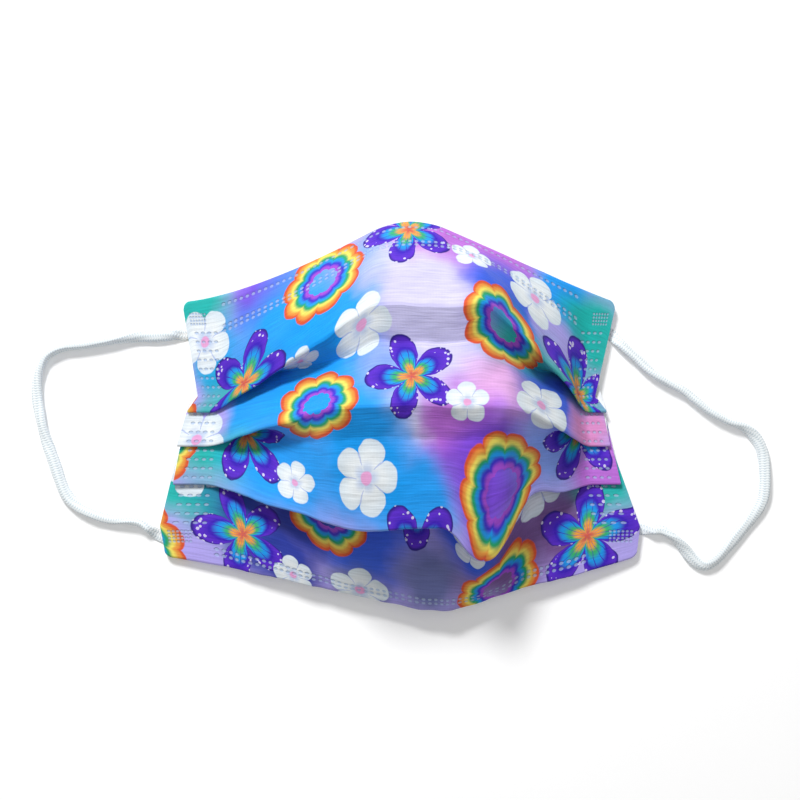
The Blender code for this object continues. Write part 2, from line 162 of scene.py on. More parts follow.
# How the oval's width varies: by a share of itself, by noise in waves a metre
WIDTH_SWING = 0.06
WIDTH_WAVES = 160.0
WIDTH_SEED = 5.0

# Plan routes of the elastics in metres, from the free stretch's upper end to its lower end
LOOP_ROUTES = {
    "left": (
        (-0.0805, 0.0301), (-0.0870, 0.0295), (-0.0939, 0.0293), (-0.1043, 0.0277), (-0.1121, 0.0265),
        (-0.1200, 0.0254), (-0.1254, 0.0227), (-0.1279, 0.0190), (-0.1293, 0.0140), (-0.1293, 0.0075),
        (-0.1279, -0.0003), (-0.1261, -0.0071), (-0.1234, -0.0146), (-0.1195, -0.0253), (-0.1154, -0.0303),
        (-0.1096, -0.0335), (-0.1032, -0.0353), (-0.0968, -0.0360), (-0.0921, -0.0371), (-0.0890, -0.0391),
    ),
    "right": (
        (0.0781, 0.0274), (0.0812, 0.0244), (0.0850, 0.0211), (0.0904, 0.0160), (0.0957, 0.0127),
        (0.1007, 0.0103), (0.1054, 0.0066), (0.1103, 0.0026), (0.1165, -0.0006), (0.1225, -0.0031),
        (0.1266, -0.0066), (0.1289, -0.0114), (0.1297, -0.0178), (0.1297, -0.0240), (0.1286, -0.0293),
        (0.1254, -0.0345), (0.1207, -0.0404), (0.1158, -0.0463), (0.1117, -0.0505), (0.1080, -0.0520),
        (0.1043, -0.0500), (0.1008, -0.0458), (0.0972, -0.0421), (0.0936, -0.0397), (0.0915, -0.0393),
        (0.0900, -0.0395),
    ),
}

# Where each elastic passes under the cloth's edge, and where its welded end lies: the upper exit and end,
# then the lower ones
LOOP_ENDS = {
    "left": ((-0.0757, 0.0307), (-0.0664, 0.0365), (-0.0848, -0.0417), (-0.0746, -0.0459)),
    "right": ((0.0746, 0.0307), (0.0653, 0.0365), (0.0849, -0.0393), (0.0740, -0.0408)),
}


def mix(start, end, share):
    """Blend two values."""
    return start + (end - start) * share


def clamp(value):
    """Keep a share between none and all."""
    return max(0.0, min(1.0, value))


def plain_rise(place, line):
    """How far a line has risen from its side height to its middle height, at a flat place across."""
    reach = line.start * HALF_WIDTH
    left = clamp((place + reach) / (line.left_top * HALF_WIDTH + reach))
    right = clamp((reach - place) / (reach - line.right_top * HALF_WIDTH))
    return min(left ** line.left_bow, right ** line.right_bow)


def rise(place, line):
    """The rise with the bends at its ends softened, most at the peak that the wire rounds."""
    shares = [step / SOFTENING_STEPS for step in range(-SOFTENING_STEPS, SOFTENING_STEPS + 1)]
    from_band = clamp((HALF_WIDTH - SIDE_BAND - abs(place)) / HALF_WIDTH)
    softness = mix(FOLD_SOFTNESS, PEAK_SOFTNESS, from_band) if line.name == "top" else FOLD_SOFTNESS
    return sum(plain_rise(place + share * softness, line) for share in shares) / len(shares)


def across(place, left_x, right_x):
    """X of a point on a line that ends at the given shares of the half width, and runs evenly in between."""
    edge = left_x if place < 0 else right_x
    return place * mix(MID_SPREAD, edge, abs(place / HALF_WIDTH) ** (EDGE_BOW - 1))


def corner_cut(place):
    """How far the sheet's rounded corner lies inside a square one, at a flat place across."""
    into_corner = clamp((abs(place) - HALF_WIDTH + CORNER_RADIUS) / CORNER_RADIUS)
    return Vector((0.0, CORNER_RADIUS * (1 - math.sqrt(1 - into_corner * into_corner)), 0.0))


def line_point(place, name):
    """Point of a named line at a flat place across the sheet, with its dents."""
    line = LINES[name]
    share = rise(place, line)
    y = mix(line.side_y * SIDE_HEIGHT - SIDE_DROP, line.mid_y * OPEN_HEIGHT, share)
    z = mix(line.side_z, line.mid_z * DOME_HEIGHT, share)
    for dent in DENTS:
        if dent.line == name:
            away = clamp(abs(place / HALF_WIDTH - dent.place) / dent.reach)
            depth = PLEAT_DEPTH * (1 + math.cos(math.pi * away)) / 2
            y += dent.shift_y * depth
            z += dent.shift_z * depth
    return Vector((across(place, line.left_x, line.right_x), y, z))


def valley_point(place, pleat):
    """Point of the valley line behind a pleat's ridge, where its strip has swung open by its share."""
    ridge = line_point(place, pleat.ridge)
    closed = math.asin((RIDGE_HEIGHT - VALLEY_HEIGHT) / PLEAT_DEPTH)
    opening = 1 - (1 - rise(place, LINES[pleat.ridge])) ** PLEAT_OPENING_BOW
    turn = mix(closed, math.radians(pleat.mid_turn), opening)
    drop = min(PLEAT_DEPTH * math.sin(turn), ridge.z - VALLEY_HEIGHT)
    x = across(place, pleat.left_x, pleat.right_x)
    return Vector((x, ridge.y + PLEAT_DEPTH * math.cos(turn), ridge.z - drop))


def bend_point(place, bend, above, below):
    """Point of a panel's soft bend, between the lines that the panel hangs from and ends at."""
    share = rise(place, LINES[bend.ridge])
    y = mix(above.y, below.y, mix(bend.side_y, bend.mid_y, share))
    z = mix(above.z, below.z, mix(bend.side_z, bend.mid_y, share))
    return Vector((across(place, bend.left_x, bend.right_x), y, z + bend.lift * PLEAT_DEPTH * share))


def pocket_pitch(place):
    """Distance between the two layers of the top hem, wider where the wire lies."""
    open_share = clamp((HALF_WIDTH - SIDE_BAND - abs(place)) / POCKET_RAMP)
    return mix(LAYER_PITCH, POCKET_PITCH, open_share)


def direction(start, end):
    """Unit direction between two points, seen along the X axis."""
    return Vector((0.0, end.y - start.y, end.z - start.z)).normalized()


def quarter_turn(way, sense):
    """A direction turned by a right angle in the section plane."""
    return Vector((0.0, -way.z, way.y)) * sense


def fold_crossing(way_in, way_out, sense):
    """Direction over a fold's crest: onward where the fold is open, to the next layer where it is closed."""
    if way_in.dot(way_out) > 0:
        return (way_in + way_out).normalized()
    return quarter_turn((way_in - way_out).normalized(), sense)


Corner = namedtuple("Corner", "point sense pitch")


def section_corners(place):
    """Corners of the folded sheet at one station, from the top hem's fold to the bottom hem's."""
    top = line_point(place, "top")
    bottom = line_point(place, "bottom")
    pleats = [(line_point(place, pleat.ridge), valley_point(place, pleat)) for pleat in PLEATS]
    half_layer = Vector((0.0, 0.0, LAYER_PITCH / 2))
    cheek = bend_point(place, CHEEK, top + half_layer, pleats[0][0] + half_layer)
    chin = bend_point(place, CHIN, pleats[-1][1] - half_layer, bottom + half_layer)
    corners = [Corner(top - corner_cut(place), 1, pocket_pitch(place)), Corner(cheek, 0, 0.0)]
    for ridge, valley in pleats:
        corners.append(Corner(ridge, 1, LAYER_PITCH))
        corners.append(Corner(valley, -1, LAYER_PITCH))
    return corners + [Corner(chin, 0, 0.0), Corner(bottom + corner_cut(place), 1, LAYER_PITCH)]


def hem_end(under, over, onward, depth):
    """Free end of a hem that runs back under its panel, from the fold's two layers and the next point."""
    panel = onward - over
    return under + panel * (depth / direction(over, onward).dot(panel))


def section_path(place):
    """Bends of the sheet's middle line at one station: each is a point and the radius that rounds it."""
    corners = section_corners(place)
    points = [corner.point for corner in corners]
    path = []
    for index, corner in enumerate(corners):
        if corner.sense == 0:
            path.append((corner.point, 0.0))
            continue
        if index == 0:
            way_out = direction(points[0], points[1])
            way_in = -way_out
        elif index == len(corners) - 1:
            way_in = direction(points[-2], points[-1])
            way_out = -way_in
        else:
            way_in = direction(points[index - 1], points[index])
            way_out = direction(points[index], points[index + 1])
        along = fold_crossing(way_in, way_out, corner.sense)
        radius = corner.pitch / 2
        path.append((corner.point - along * radius, radius * FOLD_ROUNDNESS))
        path.append((corner.point + along * radius, radius * FOLD_ROUNDNESS))
    start = hem_end(path[0][0], path[1][0], path[2][0], TOP_HEM)
    end = hem_end(path[-1][0], path[-2][0], path[-3][0], BOTTOM_HEM)
    return [(start, 0.0)] + path + [(end, 0.0)]


# One drawn point of the cloth: where it is, which way its printed side faces, and how far down the sheet
Spot = namedtuple("Spot", "point face down")


def section_rows(path):
    """Distance of each bend down the flat sheet: a soft bend's comes from its share of its panel."""
    rows = [FLAT_START]
    for row in FOLD_ROWS:
        rows += [row - LAYER_PITCH / 2, row + LAYER_PITCH / 2]
    rows.append(FLAT_END)
    for index, (point, radius) in enumerate(path):
        if radius == 0 and 0 < index < len(path) - 1:
            above = (point - path[index - 1][0]).length
            below = (path[index + 1][0] - point).length
            rows.insert(index, mix(rows[index - 1], rows[index], above / (above + below)))
    return rows


def rounded_corner(path, rows, index):
    """Spots of one bend: a single one where the cloth only bends, a short arc where it folds."""
    point, radius = path[index]
    way_in = direction(path[max(index - 1, 0)][0], path[max(index, 1)][0])
    way_out = direction(path[min(index, len(path) - 2)][0], path[min(index + 1, len(path) - 1)][0])
    face_in = quarter_turn(way_in, -1)
    face_out = quarter_turn(way_out, -1)
    down = rows[index]
    if radius == 0:
        return [Spot(point, (face_in + face_out).normalized(), down)]
    half_turn = math.acos(max(-1.0, min(1.0, way_in.dot(way_out)))) / 2
    reach = radius * math.tan(half_turn)
    sense = 1.0 if way_in.cross(way_out).x > 0 else -1.0
    centre = point - way_in * reach + quarter_turn(way_in, sense) * radius
    spots = []
    for step in range(ARC_STEPS + 1):
        turn = 2 * half_turn * step / ARC_STEPS
        onward = (turn - half_turn) * radius
        face = face_in * math.cos(turn) + quarter_turn(face_in, sense) * math.sin(turn)
        arm = -quarter_turn(way_in, sense)
        arm = arm * math.cos(turn) + quarter_turn(arm, sense) * math.sin(turn)
        spot = centre + arm * radius
        spot.x = point.x
        spots.append(Spot(spot, face, down + onward))
    return spots


def section_spots(place):
    """All spots of one section, with even steps between its bends."""
    path = section_path(place)
    rows = section_rows(path)
    spots = []
    for index, steps in enumerate(STRETCH_STEPS):
        spots += rounded_corner(path, rows, index)
        start = spots[-1]
        end = rounded_corner(path, rows, index + 1)[0]
        for step in range(1, steps):
            share = step / steps
            face = (start.face + (end.face - start.face) * share).normalized()
            spots.append(Spot(start.point.lerp(end.point, share), face, mix(start.down, end.down, share)))
    spots += rounded_corner(path, rows, len(path) - 1)
    return [spot._replace(point=spot.point + wrinkled(place, spot) + creased(place, spot)) for spot in spots]


# Waves of the limp cloth where it hangs free: waves a metre, and height in metres. The wire holds the cloth
# as far down as WIRE_HOLD, and leaves it a share of them.
WAVES = ((45.0, 0.0011), (120.0, 0.00045), (290.0, 0.00014))
WIRE_HOLD = 0.014
WIRE_SLACK = 0.1

# Where the shifts along the three axes start in the noise, which makes each run's waves the same
WAVE_STARTS = (Vector((3.1, 7.9, 5.3)), Vector((31.7, 12.4, 5.9)), Vector((8.3, 44.1, 27.5)))


def wrinkled(place, spot):
    """Shift of a spot by the soft waves of the free cloth: none at the side bands, little at the wire."""
    from_band = clamp((HALF_WIDTH - SIDE_BAND - abs(place)) / SIDE_BAND)
    from_wire = clamp((spot.down - WIRE_HOLD) / WIRE_HOLD)
    freedom = from_band * from_band * (3 - 2 * from_band) * mix(WIRE_SLACK, 1.0, from_wire)
    shift = Vector()
    for waves, height in WAVES:
        shift += Vector([noise.noise(spot.point * waves + start) for start in WAVE_STARTS]) * height
    return shift * freedom


# Sharp creases on the flat sheet: the ends across and down, the reach to each side and the depth, in metres
Crease = namedtuple("Crease", "start end reach depth")
CREASES = (
    Crease((0.016, 0.009), (0.040, 0.031), 0.0075, 0.0011),
    Crease((0.035, 0.0985), (0.034, 0.1095), 0.0065, -0.0018),
)


def creased(place, spot):
    """Shift of a spot by the sharp creases: furthest on a crease's own line, and none past its reach."""
    shift = Vector()
    here = Vector((place, spot.down))
    for crease in CREASES:
        start, end = Vector(crease.start), Vector(crease.end)
        along = clamp((here - start).dot(end - start) / (end - start).length_squared)
        near = clamp(1 - (here - start.lerp(end, along)).length / crease.reach)
        shift += spot.face * crease.depth * near
    return shift


def ring_faces(rings, sides):
    """Faces of a loft through rings of equally many points."""
    faces = []
    for ring in range(rings - 1):
        for side in range(sides):
            here = ring * sides + side
            beside = ring * sides + (side + 1) % sides
            faces.append((here, beside, beside + sides, here + sides))
    return faces


def tube_faces(rings, sides):
    """Faces of a closed tube: its loft and its two flat ends."""
    first_end = tuple(reversed(range(sides)))
    last_end = tuple(range((rings - 1) * sides, rings * sides))
    return [first_end, *ring_faces(rings, sides), last_end]


def mesh_object(name, points, faces, **point_values):
    """A smooth object in the scene, with vectors kept at its points for its materials to read."""
    mesh = bpy.data.meshes.new(name)
    mesh.from_pydata([tuple(point) for point in points], [], faces)
    for key, values in point_values.items():
        attribute = mesh.attributes.new(key, "FLOAT_VECTOR", "POINT")
        attribute.data.foreach_set("vector", [number for value in values for number in value])
    mesh.shade_smooth()
    made = bpy.data.objects.new(name, mesh)
    bpy.context.scene.collection.objects.link(made)
    return made


def cloth_stations():
    """Flat places across the sheet, closer in the side bands, and closest at the rounded corners."""
    band_steps = 24
    corner_steps = (0.0, 0.2, 0.5, 1.0, 1.5, 2.0)
    middle_steps = 150
    reach = HALF_WIDTH - SIDE_BAND
    steps = (*corner_steps, *range(3, band_steps))
    band = [-HALF_WIDTH + SIDE_BAND * step / band_steps for step in steps]
    middle = [-reach + 2 * reach * step / middle_steps for step in range(middle_steps + 1)]
    return band + middle + [-place for place in reversed(band)]


def make_cloth():
    """The folded sheet as one closed thin mesh with its print's coordinates."""
    places = cloth_stations()
    sections = [section_spots(place) for place in places]
    count = len(sections[0])
    ring = 2 * count
    points = []
    flat_places = []
    pressed_places = []
    for place, section in zip(places, sections):
        both = [(spot, HALF_WALL) for spot in section] + [(spot, -HALF_WALL) for spot in reversed(section)]
        for spot, offset in both:
            points.append(spot.point + spot.face * offset)
            flat_places.append((place, -spot.down, 0.0))
            pressed_places.append((place, spot.point.y, 0.0))
    faces = ring_faces(len(sections), ring)
    linings = [int(count <= index < ring - 1) for index in range(ring)] * (len(sections) - 1)
    last = (len(sections) - 1) * ring
    for index in range(count - 1):
        other = ring - 1 - index
        faces.append((other, other - 1, index + 1, index))
        faces.append((last + index, last + index + 1, last + other - 1, last + other))
        linings += [0, 0]
    cloth = mesh_object("pleated_cloth", points, faces, flat_place=flat_places, pressed_place=pressed_places)
    cloth.data.polygons.foreach_set("material_index", linings)
    cloth.data.set_sharp_from_angle(angle=math.radians(50))
    return cloth


def make_nose_wire():
    """The flat wire with rounded sides in the top hem's pocket, bent as the hem is."""
    places = [place for place in cloth_stations() if abs(place) <= WIRE_LENGTH / 2]
    points = []
    for place in places:
        under, over, onward = [point for point, radius in section_path(place)[1:4]]
        way = direction(over, onward)
        through = quarter_turn(way, -1)
        centre = under.lerp(over, 0.5) + way * WIRE_SETBACK
        centre += wrinkled(place, Spot(centre, through, WIRE_SETBACK))
        for corner in range(WIRE_SIDES):
            turn = -2 * math.pi * corner / WIRE_SIDES
            aside = math.copysign(abs(math.cos(turn)) ** WIRE_SIDE_BOW, math.cos(turn)) * WIRE_WIDTH / 2
            points.append(centre + way * aside + through * math.sin(turn) * WIRE_THICKNESS / 2)
    return mesh_object("flat_nose_wire", points, tube_faces(len(places), WIRE_SIDES))


def smooth_curve(points, steps):
    """Points of a smooth curve through a route's own points."""
    curve = []
    for index in range(len(points) - 1):
        before = points[max(index - 1, 0)]
        start = points[index]
        end = points[index + 1]
        after = points[min(index + 2, len(points) - 1)]
        for step in range(steps):
            share = step / steps
            curve.append(
                0.5
                * (
                    2 * start
                    + (end - before) * share
                    + (2 * before - 5 * start + 4 * end - after) * share**2
                    + (3 * start - before - 3 * end + after) * share**3
                )
            )
    return curve + [points[-1]]


def even_steps(points, step):
    """The same curve with its points a step apart, each with its distance along."""
    length = sum((end - start).length for start, end in zip(points, points[1:]))
    count = round(length / step)
    even = [(points[0], 0.0)]
    travelled = 0.0
    for start, end in zip(points, points[1:]):
        stretch = (end - start).length
        while len(even) < count and travelled + stretch >= len(even) * length / count:
            along = len(even) * length / count
            even.append((start.lerp(end, (along - travelled) / stretch), along))
        travelled += stretch
    return even + [(points[-1], length)]


def loop_route(side):
    """Plan points of a whole elastic, from its upper welded end to its lower one."""
    upper_exit, upper_end, lower_exit, lower_end = LOOP_ENDS[side]
    route = (upper_end, upper_exit, *LOOP_ROUTES[side], lower_exit, lower_end)
    return [Vector((x, y, 0.0)) for x, y in route]


def make_ear_loop(side):
    """One knitted elastic: an oval tube that twists slowly, flattened where it is welded under a corner."""
    stops = even_steps(smooth_curve(loop_route(side), ROUTE_STEPS), CORD_STEP)
    length = stops[-1][1]
    points = []
    centres = []
    knit_places = []
    for index, (place, along) in enumerate(stops):
        before = stops[max(index - 1, 0)][0]
        after = stops[min(index + 1, len(stops) - 1)][0]
        way = (after - before).normalized()
        aside = Vector((way.y, -way.x, 0.0))
        from_end = min(along, length - along)
        roundness = clamp((from_end - FLAT_END_LENGTH) / NECK_LENGTH)
        roundness = roundness * roundness * (3 - 2 * roundness)
        swing = TWIST_SWING * noise.noise(Vector((along * TWIST_WAVES, TWIST_SEEDS[side], 0.0)))
        twist = swing + along * TWIST_RATE
        wide = BROAD_HALF * (1 + WIDTH_SWING * noise.noise(Vector((along * WIDTH_WAVES, WIDTH_SEED, 0.0))))
        reach = math.hypot(wide * math.sin(twist), NARROW_HALF * math.cos(twist))
        height = mix(FLAT_END_RISE, reach, roundness)
        centre = place + Vector((0.0, 0.0, height))
        centres.append(centre)
        for corner in range(CORD_SIDES):
            turn = 2 * math.pi * corner / CORD_SIDES
            broad = wide * math.cos(turn)
            narrow = NARROW_HALF * math.sin(turn)
            oval_across = broad * math.cos(twist) - narrow * math.sin(twist)
            oval_up = broad * math.sin(twist) + narrow * math.cos(twist)
            over = mix(FLAT_END_HALF * math.cos(turn + twist), oval_across, roundness)
            up = mix(FLAT_END_RISE * math.sin(turn + twist), oval_up, roundness)
            points.append(centre + aside * over + Vector((0.0, 0.0, up)))
            knit_places.append((along, turn, 0.0))
    loop = mesh_object("elastic_" + side, points, tube_faces(len(stops), CORD_SIDES), knit_place=knit_places)
    return loop, centres, length


def linear_colour(code):
    """Linear light from an sRGB hex colour."""
    channels = [int(code[place : place + 2], 16) / 255 for place in (1, 3, 5)]
    return (*[c / 12.92 if c <= 0.04045 else ((c + 0.055) / 1.055) ** 2.4 for c in channels], 1.0)


def add_node(tree, kind, inputs=(), output=0, stops=(), **settings):
    """Add a node with its settings and colour stops, feed its inputs, and return one of its outputs."""
    made = tree.nodes.new("ShaderNode" + kind)
    for name, value in settings.items():
        setattr(made, name, value)
    if stops:
        ramp = made.color_ramp
        ramp.interpolation = "EASE"
        for spare in stops[2:]:
            ramp.elements.new(spare[0])
        for element, (place, code) in zip(ramp.elements, sorted(stops)):
            element.position = place
            element.color = linear_colour(code)
    for place, value in inputs.items() if isinstance(inputs, dict) else enumerate(inputs):
        if isinstance(value, bpy.types.NodeSocket):
            tree.links.new(value, made.inputs[place])
        else:
            made.inputs[place].default_value = value
    return made.outputs[output]


def new_material(name):
    """An empty material with a Principled shader, returned with its tree and shader."""
    material = bpy.data.materials.new(name)
    material.use_nodes = True
    tree = material.node_tree
    return material, tree, tree.nodes["Principled BSDF"]


def nonwoven_relief(tree, flat):
    """Height of the nonwoven in relief: crepe lines and embossed points."""
    streaks = add_node(tree, "VectorMath", (flat, CREPE_SCALE), operation="MULTIPLY")
    crepe = add_node(tree, "TexNoise", {"Vector": streaks, "Scale": 1.0, "Detail": 3.0, "Roughness": 0.6})
    points = add_node(tree, "TexVoronoi", {"Vector": flat, "Scale": 1 / EMBOSS_PITCH, "Randomness": 0.25})
    emboss = add_node(tree, "Math", (points, 0.12), operation="MULTIPLY")
    return add_node(tree, "Math", (crepe, emboss), operation="ADD")


def dot_rows(tree, place, pitch, size, first, last):
    """Mask of weld dots on a grid of the given pitch, in a range across and a range down."""
    lowest = Vector((first[0], first[1], 0.0))
    grid = add_node(tree, "VectorMath", (place, lowest), operation="SUBTRACT")
    cell = add_node(tree, "VectorMath", (grid, (*pitch, 1.0)), operation="MODULO")
    middle = add_node(tree, "VectorMath", (cell, (pitch[0] / 2, pitch[1] / 2, 0.0)), operation="SUBTRACT")
    stretched = add_node(tree, "VectorMath", (middle, (2 / size[0], 2 / size[1], 0.0)), operation="MULTIPLY")
    away = add_node(tree, "VectorMath", (stretched,), output=1, operation="LENGTH")
    fading = {"Value": away, "From Min": 0.75, "From Max": 1.15, "To Min": 1.0, "To Max": 0.0}
    dot = add_node(tree, "MapRange", fading, interpolation_type="SMOOTHSTEP")
    for axis, (low, high) in enumerate(zip(first, last)):
        along = add_node(tree, "SeparateXYZ", (place,), output=axis)
        centred = add_node(tree, "Math", (along, (low + high) / 2), operation="SUBTRACT")
        size_off = add_node(tree, "Math", (centred,), operation="ABSOLUTE")
        inside = add_node(tree, "Math", (size_off, (high - low) / 2), operation="LESS_THAN")
        dot = add_node(tree, "Math", (dot, inside), operation="MULTIPLY")
    return dot


# Crepe of the nonwoven: lines about 0.8 mm apart and 15 mm long, coarser than the fibres so that they show
CREPE_SCALE = (1 / 0.015, 1 / 0.0008, 1.0)

# Embossed bond points of the spunbond are 0.7 mm apart, and are drawn at 1.1 mm so that they show
EMBOSS_PITCH = 0.0011

Weld = namedtuple("Weld", "pitch size first last")

# Dotted welds of the hems, laid on the flat sheet: pitch, dot size, lower left and upper right
HEM_WELDS = (
    Weld((0.0025, 0.0016), (0.0016, 0.0013), (-0.0725, -0.0045), (0.0725, -0.0029)),
    Weld((0.0025, 0.0018), (0.0016, 0.0013), (-0.0725, -0.0122), (0.0725, -0.0104)),
    Weld((0.0025, 0.0018), (0.0016, 0.0013), (-0.0725, -0.0140), (0.0725, -0.0122)),
    Weld((0.0025, 0.0019), (0.0016, 0.0012), (-0.0725, -0.1658), (0.0725, -0.1620)),
)

# Dotted welds of the side bands, pressed through all the folds: four columns at each side
BAND_WELDS = tuple(
    Weld((0.0028, 0.0032), (0.0017, 0.0010), (left, -0.0384), (left + 0.0112, 0.0320))
    for left in (-0.0850, 0.0738)
)

# Close welds in the corners, which hold the elastics' ends: six columns of four dots
END_WELDS = tuple(
    Weld((0.0012, 0.0012), (0.0009, 0.0009), (left, low), (left + 0.0072, low + 0.0048))
    for left in (-0.0860, 0.0788)
    for low in (-0.0440, 0.0330)
)


def weld_dots(tree, flat, pressed):
    """Mask of all the weld dots of the mask."""
    dots = None
    for place, welds in ((flat, HEM_WELDS), (pressed, BAND_WELDS + END_WELDS)):
        for weld in welds:
            here = dot_rows(tree, place, *weld)
            dots = here if dots is None else add_node(tree, "Math", (dots, here), operation="MAXIMUM")
    return dots


def lining_nonwoven():
    """White spunbond polypropylene of the inner ply: matt, with embossed points and the same welds."""
    material, tree, shader = new_material("white spunbond lining")
    flat = add_node(tree, "Attribute", output=1, attribute_name="flat_place")
    pressed = add_node(tree, "Attribute", output=1, attribute_name="pressed_place")
    dots = weld_dots(tree, flat, pressed)
    relief = nonwoven_relief(tree, flat)
    mottle = add_node(tree, "TexNoise", {"Vector": flat, "Scale": 1 / 0.004, "Detail": 4.0})
    colour = add_node(tree, "ValToRGB", (mottle,), stops=((0.3, "#E3E8EC"), (0.7, "#F4F7F8")))
    welded = {0: dots, 6: colour, 7: linear_colour("#CDD5DB")}
    colour = add_node(tree, "Mix", welded, 2, data_type="RGBA")
    tree.links.new(colour, shader.inputs["Base Color"])
    sunk = add_node(tree, "Math", (relief, dots), operation="SUBTRACT")
    bump = add_node(tree, "Bump", {"Strength": 0.5, "Distance": 0.0002, "Height": sunk})
    tree.links.new(bump, shader.inputs["Normal"])
    shader.inputs["Roughness"].default_value = 0.85
    shader.inputs["Sheen Weight"].default_value = 0.15
    return material


# Dyes of the printed ground; navy, slate and mauve also hold painted shade for the bottom panel
PRINT_COLOURS = {
    "teal": "#00B6AC",
    "aqua": "#12A6DE",
    "blue": "#009CF4",
    "deep": "#2F5FE0",
    "periwinkle": "#86A8FA",
    "lilac": "#B3A6F0",
    "pale": "#D3CFF6",
    "pink": "#E6AEE6",
    "rose": "#DB8CC6",
    "orchid": "#BE6CD8",
    "violet": "#7A44DA",
    "navy_and_painted_shade": "#2438A0",
    "mauve_and_painted_shade": "#75508F",
    "slate_and_painted_shade": "#666FA6",
}

# Soft patches of the printed ground on the flat sheet, in millimetres across and down from the top edge
Patch = namedtuple("Patch", "across down reach colour")
GROUND = (
    Patch(-42, 3, 26, "periwinkle"),
    Patch(-56, 5, 20, "violet"),
    Patch(-84, 4, 22, "teal"),
    Patch(-76, 22, 16, "aqua"),
    Patch(-48, 26, 34, "blue"),
    Patch(-26, 34, 26, "blue"),
    Patch(-70, 46, 26, "teal"),
    Patch(-10, 12, 18, "periwinkle"),
    Patch(6, 24, 26, "pale"),
    Patch(12, 4, 22, "orchid"),
    Patch(38, 6, 30, "orchid"),
    Patch(66, 4, 22, "blue"),
    Patch(82, 12, 20, "teal"),
    Patch(42, 28, 26, "deep"),
    Patch(64, 27, 15, "lilac"),
    Patch(74, 44, 26, "teal"),
    Patch(50, 50, 26, "teal"),
    # Pale on the strip behind the first ridge: partly its own pale print, partly painted light that lifts
    # its shade
    Patch(8, 44, 28, "pale"),
    Patch(-30, 48, 26, "blue"),
    Patch(-56, 66, 34, "blue"),
    Patch(-30, 68, 28, "blue"),
    Patch(-6, 66, 20, "periwinkle"),
    Patch(20, 62, 22, "pale"),
    Patch(-80, 70, 16, "lilac"),
    Patch(40, 72, 22, "pink"),
    Patch(60, 68, 22, "deep"),
    Patch(80, 74, 16, "rose"),
    Patch(20, 86, 24, "orchid"),
    # Pale on the strip behind the second ridge: partly its own pale print, partly painted light that lifts
    # its shade
    Patch(2, 84, 15, "pale"),
    Patch(-18, 86, 28, "blue"),
    Patch(-72, 98, 30, "teal"),
    Patch(-44, 104, 34, "blue"),
    Patch(-12, 100, 26, "blue"),
    Patch(6, 108, 24, "blue"),
    Patch(36, 98, 28, "violet"),
    Patch(60, 98, 26, "periwinkle"),
    Patch(82, 112, 20, "orchid"),
    # The bottom panel's patches: its own blues and violets, with painted shade in the navy, slate and mauve
    # ones
    Patch(-78, 142, 28, "teal"),
    Patch(-60, 148, 24, "navy_and_painted_shade"),
    Patch(-36, 142, 22, "navy_and_painted_shade"),
    Patch(-46, 162, 20, "navy_and_painted_shade"),
    Patch(-12, 144, 26, "deep"),
    Patch(12, 158, 20, "slate_and_painted_shade"),
    Patch(40, 150, 26, "mauve_and_painted_shade"),
    Patch(82, 144, 18, "teal"),
    Patch(64, 150, 20, "mauve_and_painted_shade"),
    Patch(78, 166, 18, "lilac"),
    Patch(-82, 166, 16, "lilac"),
    Patch(-18, 164, 16, "slate_and_painted_shade"),
    Patch(26, 138, 18, "deep"),
)

# A patch is full out to a share of its reach, and covers what is under it by a share. Its edge drifts by
# noise that is 22 mm long.
PATCH_CORE = 0.30
PATCH_COVER = 0.97
PATCH_DRIFT = 0.022


def printed_ground(tree, flat):
    """Colour of the print's ground: dyed patches that run softly into one another."""
    drift = add_node(tree, "TexNoise", {"Vector": flat, "Scale": 1 / PATCH_DRIFT, "Detail": 3.0}, output=1)
    centred = add_node(tree, "VectorMath", (drift, (0.5, 0.5, 0.5)), operation="SUBTRACT")
    far = (PATCH_DRIFT, PATCH_DRIFT, 0.0)
    moved = add_node(tree, "VectorMath", (centred, far, flat), operation="MULTIPLY_ADD")
    colour = add_node(tree, "RGB")
    colour.default_value = linear_colour(PRINT_COLOURS["lilac"])
    for patch in GROUND:
        middle = (patch.across * MM, -patch.down * MM, 0.0)
        reach = patch.reach * MM
        apart = add_node(tree, "VectorMath", (moved, middle), operation="SUBTRACT")
        away = add_node(tree, "VectorMath", (apart,), output=1, operation="LENGTH")
        fading = {
            "Value": away,
            "From Min": reach * PATCH_CORE,
            "From Max": reach,
            "To Min": PATCH_COVER,
            "To Max": 0.0,
        }
        strength = add_node(tree, "MapRange", fading, interpolation_type="SMOOTHSTEP")
        dye = linear_colour(PRINT_COLOURS[patch.colour])
        colour = add_node(tree, "Mix", {0: strength, 6: colour, 7: dye}, 2, data_type="RGBA")
    return colour


# The print repeats in a half-drop tile, in millimetres: its width and height, and how far each column drops
TILE = (68.0, 60.0)
TILE_DROP = 30.0
MOTIF_JITTER = 4.0

# One motif of the tile: its middle across and up and its reach in millimetres, and its chance seed
Motif = namedtuple("Motif", "across up reach seed")


